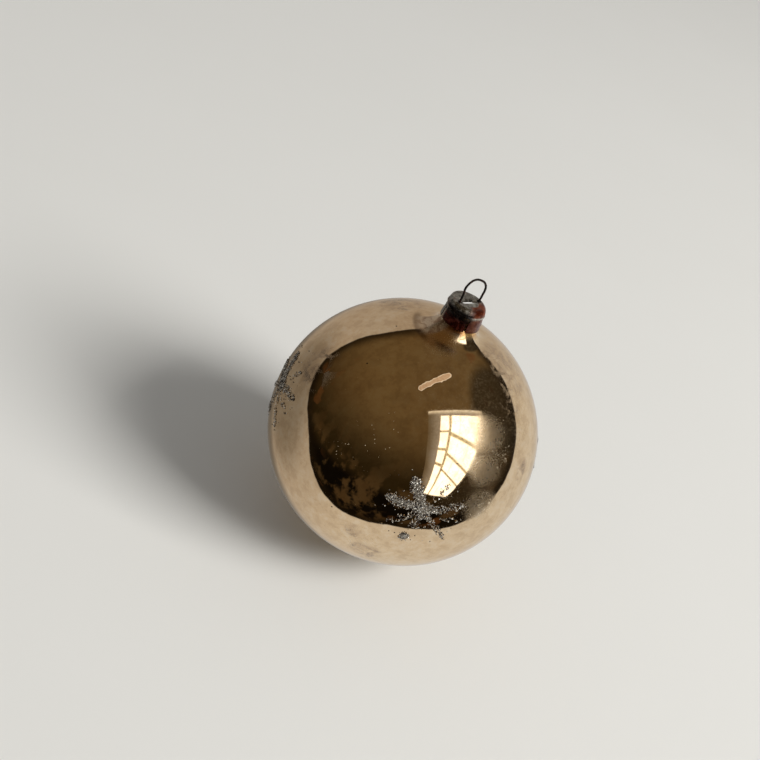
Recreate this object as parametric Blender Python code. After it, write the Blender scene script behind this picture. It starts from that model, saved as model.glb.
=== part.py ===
"""Hanging glass ball ornament: hollow glass ball, tin cap, wire hanger and four glitter motifs.

Metres, +Z up along the neck. The origin is the inside top of the wire loop, where a hook holds
the ornament, and the loop stands in the XZ plane.
"""
import bmesh
import bpy
from math import asin, cos, pi, radians, sin, sqrt
from mathutils import Matrix, Vector

MM = 0.001
GAP = 0.3 * MM                      # clearance between pieces that touch on the real ornament

# Glass ball
BALL_RADIUS = 37.5 * MM
BALL_FLATTENING = 0.978             # the blown ball is a little shorter than it is wide
GLASS_WALL = 0.6 * MM
NECK_RADIUS = 4.5 * MM
NECK_BORE_RADIUS = 3.95 * MM
NECK_FILLET = 5.8 * MM              # hollow curve from the neck into the ball
BALL_SEGMENTS = 48
BALL_ARC_STEPS = 24
FILLET_STEPS = 6

# Tin cap
CAP_HEIGHT = 6.3 * MM
CAP_RADIUS = 5.1 * MM
CAP_SKIRT_RADIUS = 5.3 * MM         # the skirt opens a little towards its rim
CAP_BEAD_RADIUS = 5.4 * MM
CAP_BEAD_DEPTH = 2.0 * MM           # middle of the bead below the cap's top
CAP_BEAD_HALF_HEIGHT = 0.5 * MM
CAP_SHOULDER = 1.2 * MM             # radius of the pressed top edge
TIN = 0.3 * MM
CAP_SEGMENTS = 48
SHOULDER_STEPS = 5
BEAD_STEPS = 6
SLIT_WIDTH = 0.5 * MM
SLIT_COUNT = 4
FIRST_SLIT_ANGLE = radians(-23.0)
SLIT_TOP_DEPTH = 2.7 * MM           # the slits start under the bead
CAP_TOP_ABOVE_CENTRE = 45.9 * MM

# Wire hanger
WIRE_RADIUS = 0.32 * MM
WIRE_HOLE_RADIUS = 0.62 * MM
WIRE_HOLE_SEGMENTS = 20
FOOT_OFFSET = 3.3 * MM              # each leg's distance from the neck's axis
LOOP_STRAIGHT = 3.25 * MM           # straight part of the loop above the cap
LOOP_INSIDE_HEIGHT = 6.6 * MM       # cap top to the inside top of the loop
LEG_LENGTH = 24.0 * MM              # below the cap's top, down through the neck
LOOP_STEPS = 24

# Glitter motifs, one on each quarter, a little above the widest line
MOTIF_COUNT = 4
FIRST_MOTIF_ANGLE = radians(-117.0)
MOTIF_LATITUDE = radians(8.5)
MOTIF_ARMS = 8
MOTIF_RADIUS = 10.3 * MM
MOTIF_WAIST = 3.2 * MM              # radius between two arms
MOTIF_ARM_SHARPNESS = 1.5
MOTIF_THICKNESS = 0.35 * MM
MOTIF_OUTLINE_STEPS = 64
MOTIF_RINGS = (0.4, 1.0)            # shares of the outline's reach

MERGE_DISTANCE = 0.001 * MM
SHARP_ANGLE = radians(40.0)

CAP_TOP = -LOOP_INSIDE_HEIGHT
BALL_CENTRE = CAP_TOP - CAP_TOP_ABOVE_CENTRE
NECK_RIM = CAP_TOP - TIN - 2 * GAP


def clear_scene():
    for old in list(bpy.data.objects):
        bpy.data.objects.remove(old, do_unlink=True)


def material(name, colour, roughness, metallic):
    mat = bpy.data.materials.new(name)
    mat.use_nodes = True
    shader = mat.node_tree.nodes["Principled BSDF"]
    shader.inputs["Base Color"].default_value = (*colour, 1.0)
    shader.inputs["Roughness"].default_value = roughness
    shader.inputs["Metallic"].default_value = metallic
    mat.diffuse_color = (*colour, 1.0)
    return mat


def add_object(name, data, mat, parent=None):
    obj = bpy.data.objects.new(name, data)
    obj.data.materials.append(mat)
    bpy.context.scene.collection.objects.link(obj)
    obj.parent = parent
    return obj


def body_empty(name, height):
    """An empty on the neck's axis that carries one moving body."""
    empty = bpy.data.objects.new(name, None)
    empty.location = (0.0, 0.0, height)
    empty.empty_display_size = 5.0 * MM
    bpy.context.scene.collection.objects.link(empty)
    return empty


def arc(centre, radius, start, end, steps):
    """Points (r, z) on an arc, angles in radians from the +r direction."""
    turns = [start + (end - start) * i / steps for i in range(steps + 1)]
    return [(centre[0] + radius * cos(t), centre[1] + radius * sin(t)) for t in turns]


def turned_mesh(name, profile, segments):
    """A closed profile of (r, z) points, turned once round the Z axis."""
    bm = bmesh.new()
    verts = [bm.verts.new((max(r, 0.0), 0.0, z)) for r, z in profile]
    edges = [bm.edges.new((a, b)) for a, b in zip(verts, verts[1:])]
    if profile[0][0] > 0.0 and profile[-1][0] > 0.0:
        edges.append(bm.edges.new((verts[-1], verts[0])))
    bmesh.ops.spin(bm, geom=verts + edges, axis=(0, 0, 1), cent=(0, 0, 0),
                   angle=2 * pi, steps=segments, use_duplicate=False)
    bmesh.ops.remove_doubles(bm, verts=bm.verts, dist=MERGE_DISTANCE)
    bmesh.ops.recalc_face_normals(bm, faces=bm.faces)
    mesh = bpy.data.meshes.new(name)
    bm.to_mesh(mesh)
    bm.free()
    mesh.shade_smooth()
    mesh.set_sharp_from_angle(angle=SHARP_ANGLE)
    return mesh


def flattened(points):
    return [(r, z * BALL_FLATTENING) for r, z in points]


def ball_profile():
    """Outside from the rim to the lowest point, then the inside back up to the rim."""
    fillet_r = NECK_RADIUS + NECK_FILLET
    fillet_z = sqrt((BALL_RADIUS + NECK_FILLET) ** 2 - fillet_r ** 2)
    meet = asin(fillet_z / (BALL_RADIUS + NECK_FILLET))
    outside = arc((fillet_r, fillet_z), NECK_FILLET, pi, pi + meet, FILLET_STEPS)
    outside += arc((0.0, 0.0), BALL_RADIUS, meet, -pi / 2, BALL_ARC_STEPS)[1:]
    outside = [(NECK_RADIUS, NECK_RIM - BALL_CENTRE)] + flattened(outside)
    inner_radius = BALL_RADIUS - GLASS_WALL
    bore_meet = asin(sqrt(inner_radius ** 2 - NECK_BORE_RADIUS ** 2) / inner_radius)
    inside = flattened(arc((0.0, 0.0), inner_radius, -pi / 2, bore_meet, BALL_ARC_STEPS))
    inside += [(NECK_BORE_RADIUS, NECK_RIM - BALL_CENTRE)]
    outside[-1] = (0.0, -BALL_RADIUS * BALL_FLATTENING)
    inside[0] = (0.0, -inner_radius * BALL_FLATTENING)
    return outside, inside


def make_ball(parent):
    outside, inside = ball_profile()
    profile = outside[::-1] + inside[::-1]
    glass = material("glass_ball", (0.72, 0.55, 0.36), 0.12, 1.0)
    add_object("glass_ball", turned_mesh("glass_ball", profile, BALL_SEGMENTS), glass, parent)


def cap_profile():
    """Outside from the top's centre to the rim, then the inside back, at the cap's own height."""
    edge = CAP_RADIUS - CAP_SHOULDER
    outside = [(0.0, 0.0)]
    outside += arc((edge, -CAP_SHOULDER), CAP_SHOULDER, pi / 2, 0.0, SHOULDER_STEPS)
    bead_top = -CAP_BEAD_DEPTH + CAP_BEAD_HALF_HEIGHT
    bead_rise = CAP_BEAD_RADIUS - CAP_RADIUS
    for step in range(BEAD_STEPS + 1):
        share = step / BEAD_STEPS
        outside.append((CAP_RADIUS + bead_rise * sin(pi * share),
                        bead_top - 2 * CAP_BEAD_HALF_HEIGHT * share))
    outside += [(CAP_RADIUS, -SLIT_TOP_DEPTH), (CAP_SKIRT_RADIUS, -CAP_HEIGHT)]
    inside = [(CAP_SKIRT_RADIUS - TIN, -CAP_HEIGHT), (CAP_RADIUS - TIN, -SLIT_TOP_DEPTH)]
    inside += arc((edge, -CAP_SHOULDER), CAP_SHOULDER - TIN, 0.0, pi / 2, SHOULDER_STEPS - 1)
    inside += [(0.0, -TIN)]
    return outside + inside


def add_boolean(obj, cutter):
    cutter.hide_render = True
    cutter.display_type = "WIRE"
    cut = obj.modifiers.new(cutter.name, "BOOLEAN")
    cut.operation = "DIFFERENCE"
    cut.solver = "EXACT"
    cut.object = cutter


def slit_cutter(mat, parent):
    """Four narrow blades that open the skirt into four tongues."""
    bm = bmesh.new()
    reach = 2 * CAP_RADIUS
    height = CAP_HEIGHT
    for number in range(SLIT_COUNT // 2):
        turn = FIRST_SLIT_ANGLE + number * 2 * pi / SLIT_COUNT
        place = (Matrix.Rotation(turn, 4, "Z")
                 @ Matrix.Translation((0.0, 0.0, -SLIT_TOP_DEPTH - height / 2)))
        blade = Matrix.Diagonal((2 * reach, SLIT_WIDTH, height, 1.0))
        bmesh.ops.create_cube(bm, size=1.0, matrix=place @ blade)
    mesh = bpy.data.meshes.new("slit_cutter")
    bm.to_mesh(mesh)
    bm.free()
    cutter = add_object("slit_cutter", mesh, mat, parent)
    cutter.hide_set(True)
    return cutter


def hole_cutter(mat, parent):
    """Two round punches for the wire's legs."""
    bm = bmesh.new()
    for side in (-1, 1):
        bmesh.ops.create_cone(bm, cap_ends=True, segments=WIRE_HOLE_SEGMENTS, radius1=WIRE_HOLE_RADIUS,
                              radius2=WIRE_HOLE_RADIUS, depth=4 * TIN,
                              matrix=Matrix.Translation((side * FOOT_OFFSET, 0.0, -TIN / 2)))
    mesh = bpy.data.meshes.new("hole_cutter")
    bm.to_mesh(mesh)
    bm.free()
    cutter = add_object("hole_cutter", mesh, mat, parent)
    cutter.hide_set(True)
    return cutter


def make_cap(parent):
    tin = material("cap", (0.13, 0.09, 0.07), 0.5, 0.8)
    cap = add_object("cap", turned_mesh("cap", cap_profile(), CAP_SEGMENTS), tin, parent)
    add_boolean(cap, slit_cutter(tin, parent))
    add_boolean(cap, hole_cutter(tin, parent))


def hanger_route():
    """Centre line of the wire: up one leg, round the loop and down the other."""
    rise = LOOP_INSIDE_HEIGHT + WIRE_RADIUS - LOOP_STRAIGHT
    straight_top = CAP_TOP + LOOP_STRAIGHT
    arch = []
    for step in range(LOOP_STEPS + 1):
        turn = pi * step / LOOP_STEPS
        arch.append((FOOT_OFFSET * cos(turn), 0.0, straight_top + rise * sin(turn)))
    leg_end = CAP_TOP - LEG_LENGTH
    return [(FOOT_OFFSET, 0.0, leg_end)] + arch + [(-FOOT_OFFSET, 0.0, leg_end)]


def make_hanger(parent):
    curve = bpy.data.curves.new("wire_hanger", "CURVE")
    curve.dimensions = "3D"
    curve.bevel_depth = WIRE_RADIUS
    curve.bevel_resolution = 2
    curve.use_fill_caps = True
    route = hanger_route()
    spline = curve.splines.new("POLY")
    spline.points.add(len(route) - 1)
    for point, place in zip(spline.points, route):
        point.co = (*place, 1.0)
    steel = material("wire_hanger", (0.06, 0.045, 0.035), 0.55, 0.8)
    add_object("wire_hanger", curve, steel, parent)


def motif_reach(turn):
    """Outline radius of the eight-armed star at an angle round its own centre."""
    lobe = (0.5 + 0.5 * cos(MOTIF_ARMS * turn)) ** MOTIF_ARM_SHARPNESS
    return MOTIF_WAIST + (MOTIF_RADIUS - MOTIF_WAIST) * lobe


def on_ball(bend, turn):
    """A point just off the ball, at an angle from the motif's centre, which faces +X."""
    out = Vector((cos(bend), sin(bend) * cos(turn), sin(bend) * sin(turn)))
    place = (BALL_RADIUS + GAP) * (Matrix.Rotation(-MOTIF_LATITUDE, 3, "Y") @ out)
    place.z *= BALL_FLATTENING
    return place


def motif_mesh():
    """A star-shaped patch that follows the ball; a modifier thickens it outwards."""
    bm = bmesh.new()
    centre = bm.verts.new(on_ball(0.0, 0.0))
    rings = []
    for share in MOTIF_RINGS:
        ring = []
        for step in range(MOTIF_OUTLINE_STEPS):
            turn = 2 * pi * step / MOTIF_OUTLINE_STEPS
            bend = motif_reach(turn) * share / BALL_RADIUS
            ring.append(bm.verts.new(on_ball(bend, turn)))
        rings.append(ring)
    for step in range(MOTIF_OUTLINE_STEPS):
        after = (step + 1) % MOTIF_OUTLINE_STEPS
        bm.faces.new((centre, rings[0][step], rings[0][after]))
        for inner, outer in zip(rings, rings[1:]):
            bm.faces.new((inner[step], outer[step], outer[after], inner[after]))
    mesh = bpy.data.meshes.new("glitter_motif")
    bm.to_mesh(mesh)
    bm.free()
    mesh.shade_smooth()
    return mesh


def make_motifs(parent):
    glitter = material("glitter", (0.42, 0.40, 0.38), 0.45, 0.6)
    mesh = motif_mesh()
    mesh.materials.append(glitter)
    for number in range(MOTIF_COUNT):
        motif = bpy.data.objects.new(f"glitter_motif_{number + 1}", mesh)
        motif.rotation_euler.z = FIRST_MOTIF_ANGLE + number * 2 * pi / MOTIF_COUNT
        motif.parent = parent
        bpy.context.scene.collection.objects.link(motif)
        layer = motif.modifiers.new("layer", "SOLIDIFY")
        layer.thickness = MOTIF_THICKNESS
        layer.offset = 1.0


def main():
    clear_scene()
    ball_body = body_empty("ball_body", BALL_CENTRE)
    cap_body = body_empty("cap_body", CAP_TOP)
    hanger_body = body_empty("hanger_body", 0.0)
    make_ball(ball_body)
    make_motifs(ball_body)
    make_cap(cap_body)
    make_hanger(hanger_body)
    bpy.context.view_layer.update()


main()
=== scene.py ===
import random
from math import asin, cos, pi, radians, sin, sqrt

import bmesh
import bpy
from mathutils import Matrix, Quaternion, Vector, noise


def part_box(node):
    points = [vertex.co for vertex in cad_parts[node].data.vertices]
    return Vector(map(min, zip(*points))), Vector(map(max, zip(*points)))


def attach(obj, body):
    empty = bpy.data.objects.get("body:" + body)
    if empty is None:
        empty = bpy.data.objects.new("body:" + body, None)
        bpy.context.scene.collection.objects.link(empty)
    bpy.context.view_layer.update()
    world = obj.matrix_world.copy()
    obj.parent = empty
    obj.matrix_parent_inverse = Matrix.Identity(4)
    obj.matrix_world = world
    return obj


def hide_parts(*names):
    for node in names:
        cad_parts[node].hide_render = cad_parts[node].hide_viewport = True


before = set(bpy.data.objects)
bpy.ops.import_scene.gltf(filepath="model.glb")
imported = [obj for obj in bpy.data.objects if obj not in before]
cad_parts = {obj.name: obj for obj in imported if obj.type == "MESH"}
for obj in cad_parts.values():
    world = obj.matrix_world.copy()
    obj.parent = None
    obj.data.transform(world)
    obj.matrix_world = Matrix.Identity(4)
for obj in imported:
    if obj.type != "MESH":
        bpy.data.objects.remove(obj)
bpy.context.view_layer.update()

MM = 0.001
UP = Vector((0.0, 0.0, 1.0))

# ---- Places read from the frame ----
BALL_LOW, BALL_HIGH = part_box("glass_ball")
CAP_LOW, CAP_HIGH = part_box("cap")
WIRE_LOW, WIRE_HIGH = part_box("wire_hanger")
BALL_RADIUS = (BALL_HIGH.x - BALL_LOW.x) / 2
BALL_FLATTENING = 0.978             # height over width of the blown ball
BALL_CENTRE = Vector((0.0, 0.0, BALL_LOW.z + BALL_RADIUS * BALL_FLATTENING))
NECK_RIM = BALL_HIGH.z
CAP_TOP = CAP_HIGH.z
CAP_HEIGHT = CAP_HIGH.z - CAP_LOW.z
BEAD_RADIUS = (CAP_HIGH.x - CAP_LOW.x) / 2
WIRE_RADIUS = (WIRE_HIGH.y - WIRE_LOW.y) / 2
FOOT_OFFSET = WIRE_HIGH.x - WIRE_RADIUS

# ---- Glass ball ----
GLASS_WALL = 0.6 * MM
NECK_RADIUS = 4.5 * MM
NECK_BORE_RADIUS = 3.95 * MM
NECK_FILLET = 5.8 * MM
BALL_SEGMENTS = 224
BALL_ARC_STEPS = 150
NECK_STEPS = 14
LIP_STEPS = 8
# The neck's lacquer begins between these heights above the ball's middle: all round, and on
# the left flank.
NECK_FROM = (37.0 * MM, 34.8 * MM)
NECK_TO = (39.0 * MM, 35.9 * MM)
FOLD_HEIGHT = 35.2 * MM
FLANK_SIDE = 156.0                  # degrees

# ---- Tin cap ----
CAP_RADIUS = 5.1 * MM
SKIRT_RADIUS = 5.3 * MM
CAP_SHOULDER = 1.4 * MM
BEAD_DEPTH = 2.0 * MM
BEAD_HALF_HEIGHT = 0.5 * MM
SLIT_TOP_DEPTH = 2.7 * MM
TIN = 0.26 * MM
SLIT_COUNT = 4
FIRST_SLIT = radians(-23.0)
SLIT_HALF_WIDTH = 0.22 * MM
CAP_COLUMNS = 240
TOP_RINGS = 40
SHOULDER_STEPS = 10
BEAD_STEPS = 14
SKIRT_STEPS = 14
BEAD_SHRINK = 0.05 * MM             # keeps the dented bead inside the CAD cap
SKIRT_SHRINK = 0.02 * MM
HOLE_RADIUS = 0.6 * MM
HOLE_SEGMENTS = 32
EDGE_ROUNDING = 0.04 * MM
TROUGH_HALF_WIDTH = 0.75 * MM       # pressed trough between the two wire holes
TROUGH_HALF_LENGTH = 2.7 * MM
TROUGH_DEPTH = 0.42 * MM
CRISP_SIDE = radians(140.0)         # the top's edge is sharpest here and rounder opposite
TONGUE_LEAN = (0.0, 0.22 * MM, -0.05 * MM, 0.25 * MM)

# ---- Wire ----
LOOP_STRAIGHT = 3.25 * MM
WIRE_SIDES = 14
WIRE_RINGS_PER_MM = 5
WIRE_SLIMMING = 0.93                # leaves room for the pitting
WIRE_PITTING = 0.16
LOOP_TOP_LEAN = 1.15 * MM
LOOP_BULGE = 0.20 * MM

# ---- Glitter ----
MOTIF_COUNT = 4
MOTIF_AZIMUTH = radians(-117.0)
MOTIF_LATITUDE = radians(8.5)
# Each arm: bearing from the neck side (degrees, clockwise seen from outside), length and width in
# mm, and how much of its glitter is left.
ARMS = [
    (-34.0, 9.8, 4.0, 1.00),
    (-84.0, 10.3, 3.2, 1.00),
    (-129.0, 10.3, 2.2, 0.62),
    (-174.0, 10.9, 2.6, 0.80),
    (135.0, 12.8, 1.8, 0.85),
    (101.0, 10.4, 1.8, 0.60),
    (71.0, 11.3, 2.6, 0.90),
    (27.0, 9.6, 1.7, 0.55),
]
HUB_RADIUS = 2.3                    # mm
LOOSE_GRAINS = 90
LOOSE_REACH = (2.0, 12.5)           # mm
BLOB_PLACE = (10.2 * sin(radians(-172.0)), 10.2 * cos(radians(-172.0)))    # a lone spot of glue
BLOB_RADIUS = 1.5
BLOB_ARM = 3                        # the arm it belongs to
GAP_IN_ARM = (0.62, 0.84)           # bare shares of the arm that the blob once ended
GRAINS_PER_MM2 = 13.0
GRAIN_RADIUS = (0.08, 0.20)         # mm
GRAIN_THICKNESS = 0.045 * MM
GRAIN_TILT = radians(26.0)
GRAIN_TONES = ((0.0, 0.28), (0.34, 0.66), (0.68, 1.0))
GLUE_HEIGHT = 0.12                  # mm

# ---- Camera and light ----
VIEW_AZIMUTH = radians(-139.0)      # direction from the ball to the camera
VIEW_ELEVATION = radians(35.0)
VIEW_ROLL = radians(27.4)
VIEW_DISTANCE = 9.03 * BALL_RADIUS
LENS = 57.6                         # mm
SENSOR = 36.0
BALL_RIGHT_OF_CENTRE = 0.0185       # tangents of the angles from the picture's middle
BALL_BELOW_CENTRE = 0.0419

# ---- Worn places on the ball: azimuth, latitude and radius, in degrees ----
TARNISH = [(-49, 64, 15), (-70, 52, 8), (-129, -27, 8), (-138, -15, 5), (-69, 24, 6),
           (108, 62, 12), (165, 30, 12), (120, -5, 18), (20, 35, 14), (60, -30, 16), (-10, -20, 12)]
HAZE = [(-105, 62, 30), (-95, 40, 26), (-80, 50, 24), (-98, 22, 20), (60, 50, 20), (20, -10, 24)]
GLOW = [(-91, 42, 12), (-93, 28, 11), (-94, 14, 10), (-148, 76, 10), (60, -45, 14)]
DUST = [(-158, 15, 12), (-150, 30, 14), (-98, 30, 16), (-86, 42, 14), (-90, 12, 14)]
SCRATCHED = [(-96, 29, 9), (-88, 34, 9), (-92, 12, 9), (-133, -20, 14), (30, 0, 14), (120, 30, 12)]
# The scraped dash: azimuth and latitude of its two ends.
DASH_START = (radians(-141.2), radians(54.0))
DASH_END = (radians(-125.2), radians(64.2))
DASH_HALF_WIDTH = 0.8 * MM

# ---- Colours (linear). A pair is mixed by a noise ----
GOLD = ((0.87, 0.67, 0.43), (0.81, 0.595, 0.36))
BROWN_MOTTLE = (0.56, 0.385, 0.22)
PALE_MOTTLE = (0.97, 0.83, 0.63)
TARNISH_FILM = (0.47, 0.32, 0.20)
TARNISH_SPOT = (0.26, 0.185, 0.12)
HAZE_COLOUR = (0.60, 0.40, 0.17)
DUST_COLOUR = (0.80, 0.71, 0.57)
PIT_COLOUR = (0.02, 0.015, 0.01)
SCRATCH_COLOUR = (0.80, 0.68, 0.50)
SCRAPED_TAN = ((0.52, 0.30, 0.155), (0.62, 0.39, 0.215))
SCRAPED_RIM = (0.84, 0.62, 0.40)
NECK_FRONT = ((0.22, 0.075, 0.016), (0.060, 0.018, 0.006))
NECK_AMBER = ((0.80, 0.50, 0.20), (0.50, 0.21, 0.045))
NECK_PALE = ((0.60, 0.46, 0.32), (0.30, 0.17, 0.09))
NECK_POOL = (0.52, 0.27, 0.085)
NECK_FOLD = (0.20, 0.11, 0.045)
GREY_TIN = ((0.11, 0.10, 0.085), (0.33, 0.315, 0.27))
RED_RUST = ((0.050, 0.008, 0.003), (0.165, 0.036, 0.009))
MAROON = ((0.060, 0.016, 0.009), (0.130, 0.050, 0.030))
# Near-black for the cap's front.
FRONT_BLACK = ((0.005, 0.004, 0.004), (0.030, 0.014, 0.010))
LOW_RUST = (0.11, 0.018, 0.010)
# Pale tin for the bead's painted highlight and one tongue edge.
PALE_TIN_HIGHLIGHT = (0.38, 0.33, 0.29)
# White for the painted highlight in the cap's trough.
TROUGH_HIGHLIGHT_WHITE = (1.0, 1.0, 0.98)
DARK_WIRE = ((0.012, 0.009, 0.007), (0.06, 0.045, 0.038))
WIRE_RUST = (0.10, 0.028, 0.012)
GRAIN_STOPS = [(0.0, (0.020, 0.014, 0.018)), (0.28, (0.080, 0.066, 0.062)),
               (0.45, (0.27, 0.24, 0.19)), (0.68, (0.56, 0.52, 0.44)), (1.0, (0.98, 0.95, 0.88))]
GREY_GLUE = ((0.14, 0.115, 0.09), (0.30, 0.255, 0.20))
PALE_FLOOR = ((0.78, 0.775, 0.75), (0.81, 0.805, 0.785))

# ---- Floor and light ----
FLOOR_RADIUS = 4.0
FLOOR_GAP = 0.1 * MM
FILL = 0.34
FILL_COLOUR = (0.80, 0.80, 0.785)
BACKDROP_COLOUR = (0.72, 0.715, 0.70)
KEY_ELEVATION = radians(38.0)
KEY_AZIMUTH = radians(-60.0)
KEY_DISTANCE = 2.5
KEY_SIZE = 1.25
KEY_POWER = 72.0
KEY_COLOUR = (1.0, 0.985, 0.95)

# ---- What the mirror ball sees ----
WALLS = ((0.022, 0.015, 0.006), (0.130, 0.089, 0.042))
ROOM_FOOT = (0.004, 0.003, 0.002)
CLUTTER = (0.075, 0.048, 0.022)
WARM_SPOT = (0.12, 0.052, 0.018)
ROOM_SIDE = (0.012, 0.010, 0.006)
ROOM_RIM = (0.010, 0.007, 0.004)
SWEEP = ((0.41, 0.375, 0.345), (0.66, 0.655, 0.65))
SWEEP_CLOUD = (0.42, 0.39, 0.36)
SWEEP_SHADOW = (0.10, 0.095, 0.085)
DAYLIGHT = (2.4, 2.4, 2.4)
WINDOW_BARS = ((0.40, 0.36, 0.26), (0.95, 0.86, 0.62))
JAMB = ((0.16, 0.13, 0.09), (0.36, 0.34, 0.32))
LIT_LINTEL = (1.0, 0.98, 0.92)
# The window: where it is, and its lines as tangents of angles from there.
# Its uprights run together at (CONVERGE_ACROSS, CONVERGE_OVER) below it.
WINDOW_AZIMUTH = radians(-81.5)
WINDOW_ELEVATION = radians(28.5)
CONVERGE_ACROSS = -0.77
CONVERGE_OVER = -2.0
REVEAL_LEFT = 0.143
PANES_LEFT = 0.235
PANES_RIGHT = 0.555
MULLION = 0.302
FINE_UPRIGHTS = (0.372, 0.460)
HEAD = 0.535                        # top of the panes; the lintel is above it
LINTEL = 0.635
SILL = -0.72
# Rails as (slope, height, half width): to the right of the mullion, and to its left.
RIGHT_RAILS = [(0.67, 0.215, 0.030), (0.97, -0.150, 0.024), (1.016, -0.461, 0.020)]
LEFT_RAILS = [(0.20, 0.283, 0.014), (0.19, 0.023, 0.020), (0.45, -0.278, 0.024)]


def view_axes():
    """The direction from the ball to the camera, and the picture's right and up."""
    back = direction(VIEW_AZIMUTH, VIEW_ELEVATION)
    level = UP.cross(back).normalized()
    rise = back.cross(level)
    right = cos(VIEW_ROLL) * level + sin(VIEW_ROLL) * rise
    up = cos(VIEW_ROLL) * rise - sin(VIEW_ROLL) * level
    return back, right, up


def direction(azimuth, latitude):
    return Vector((cos(azimuth) * cos(latitude), sin(azimuth) * cos(latitude), sin(latitude)))


def flattened(unit):
    """A point of the unit sphere, moved onto the flattened ball."""
    return Vector((unit.x, unit.y, unit.z * BALL_FLATTENING)) * BALL_RADIUS


def linked(name, data):
    """A new object in the scene."""
    obj = bpy.data.objects.new(name, data)
    bpy.context.scene.collection.objects.link(obj)
    return obj


def from_bmesh(name, bm):
    mesh = bpy.data.meshes.new(name)
    bm.to_mesh(mesh)
    bm.free()
    return linked(name, mesh)


def add_camera():
    back, right, up = view_axes()
    data = bpy.data.cameras.new("camera")
    data.lens = LENS
    data.sensor_width = SENSOR
    data.clip_start, data.clip_end = 0.01, 20.0
    camera = linked("camera", data)
    towards_ball = Vector((BALL_RIGHT_OF_CENTRE, -BALL_BELOW_CENTRE, -1.0)).normalized()
    aim = towards_ball.rotation_difference(Vector((0.0, 0.0, -1.0))).to_matrix()
    turned = Matrix((right, up, back)).transposed() @ aim
    place = Matrix.Translation(BALL_CENTRE + back * VIEW_DISTANCE)
    camera.matrix_world = place @ turned.to_4x4()
    bpy.context.scene.camera = camera


# ---- Material helpers ----
class Graph:
    """Short calls for building one node tree."""

    def __init__(self, tree):
        self.tree = tree

    def put(self, socket, value):
        if hasattr(value, "is_output"):
            self.tree.links.new(value, socket)
        elif hasattr(socket.default_value, "__len__") and not hasattr(value, "__len__"):
            socket.default_value = [value] * len(socket.default_value)
        elif hasattr(value, "__len__") and len(socket.default_value) == 4 and len(value) == 3:
            socket.default_value = (*value, 1.0)
        else:
            socket.default_value = value

    def node(self, kind, *inputs, **named):
        made = self.tree.nodes.new(kind)
        settings = named.pop("settings", {})
        for key, value in settings.items():
            setattr(made, key, value)
        for number, value in enumerate(inputs):
            if value is not None:
                self.put(made.inputs[number], value)
        self.fill(made, **named)
        return made

    def fill(self, node, **values):
        """Sets a node's inputs by name, with _ for each space."""
        for key, value in values.items():
            self.put(node.inputs[key.replace("_", " ")], value)

    def math(self, operation, *inputs, clamp=False):
        return self.node("ShaderNodeMath", *inputs,
                         settings={"operation": operation, "use_clamp": clamp}).outputs[0]

    def vector(self, operation, *inputs):
        made = self.node("ShaderNodeVectorMath", *inputs, settings={"operation": operation})
        scalar = operation in ("DOT_PRODUCT", "LENGTH", "DISTANCE")
        return made.outputs["Value" if scalar else "Vector"]

    def noise(self, vector, scale, detail=3.0, roughness=0.5, distortion=0.0):
        return self.node("ShaderNodeTexNoise", Vector=vector, Scale=scale, Detail=detail,
                         Roughness=roughness, Distortion=distortion).outputs[0]

    def step(self, value, low, high):
        """0 below low, 1 above high, smooth between. Plain numbers may have low above high."""
        if isinstance(low, float) and low > high:
            return self.outside(self.step(value, high, low))
        return self.node("ShaderNodeMapRange", value, low, high, 0.0, 1.0,
                         settings={"interpolation_type": "SMOOTHSTEP"}).outputs[0]

    def mix(self, factor, a, b):
        made = self.node("ShaderNodeMix", settings={"data_type": "RGBA"})
        for number, value in ((0, factor), (6, a), (7, b)):
            self.put(made.inputs[number], value)
        return made.outputs[2]

    def blend(self, factor, a, b):
        """A number between a and b."""
        return self.node("ShaderNodeMix", factor, None, a, b).outputs[0]

    def chain(self, operation, first, *others):
        for value in others:
            first = self.math(operation, first, value)
        return first

    def times(self, *factors):
        return self.chain("MULTIPLY", *factors)

    def most(self, *values):
        return self.chain("MAXIMUM", *values)

    def total(self, *values):
        return self.chain("ADD", *values)

    def near(self, unit, place, inner, outer):
        """1 where the unit vector is within inner degrees of place, 0 beyond outer."""
        return self.step(self.along(unit, place), cos(radians(outer)), cos(radians(inner)))

    def apart(self, a, b):
        return self.math("ABSOLUTE", self.less(a, b))

    def less(self, a, b):
        return self.math("SUBTRACT", a, b)

    def outside(self, mask):
        return self.less(1.0, mask)

    def along(self, ray, axis):
        return self.vector("DOT_PRODUCT", ray, tuple(axis))

    def beside(self, around, azimuth, inner, outer):
        """1 on the side that faces azimuth, in degrees."""
        return self.near(around, direction(radians(azimuth), 0.0), inner, outer)


def new_material(name):
    mat = bpy.data.materials.new(name)
    mat.use_nodes = True
    g = Graph(mat.node_tree)
    point = g.node("ShaderNodeTexCoord").outputs["Object"]
    return mat, g, mat.node_tree.nodes["Principled BSDF"], point


def flat_offset(g, x, y):
    """The way out from the upright axis, level."""
    return g.node("ShaderNodeCombineXYZ", x, y, 0.0).outputs[0]


def bump(g, shader, height, distance, strength=1.0):
    made = g.node("ShaderNodeBump", Height=height, Distance=distance, Strength=strength)
    g.put(shader.inputs["Normal"], made.outputs[0])


# ---- Materials ----
def patches(g, unit, places):
    masks = []
    for azimuth, latitude, radius in places:
        place = direction(radians(azimuth), radians(latitude))
        masks.append(g.near(unit, place, radius * 0.35, radius))
    return g.most(*masks)


def dash_distance(g, point):
    """Distance from the middle line of the scraped dash above the ball's middle."""
    start = BALL_CENTRE + flattened(direction(*DASH_START))
    along = BALL_CENTRE + flattened(direction(*DASH_END)) - start
    from_start = g.vector("SUBTRACT", point, tuple(start))
    reach = g.along(from_start, along / along.length_squared)
    share = g.math("MULTIPLY", reach, 1.0, clamp=True)
    scaled = g.node("ShaderNodeVectorMath", tuple(along), settings={"operation": "SCALE"},
                    Scale=share)
    return g.vector("DISTANCE", from_start, scaled.outputs[0])


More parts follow.
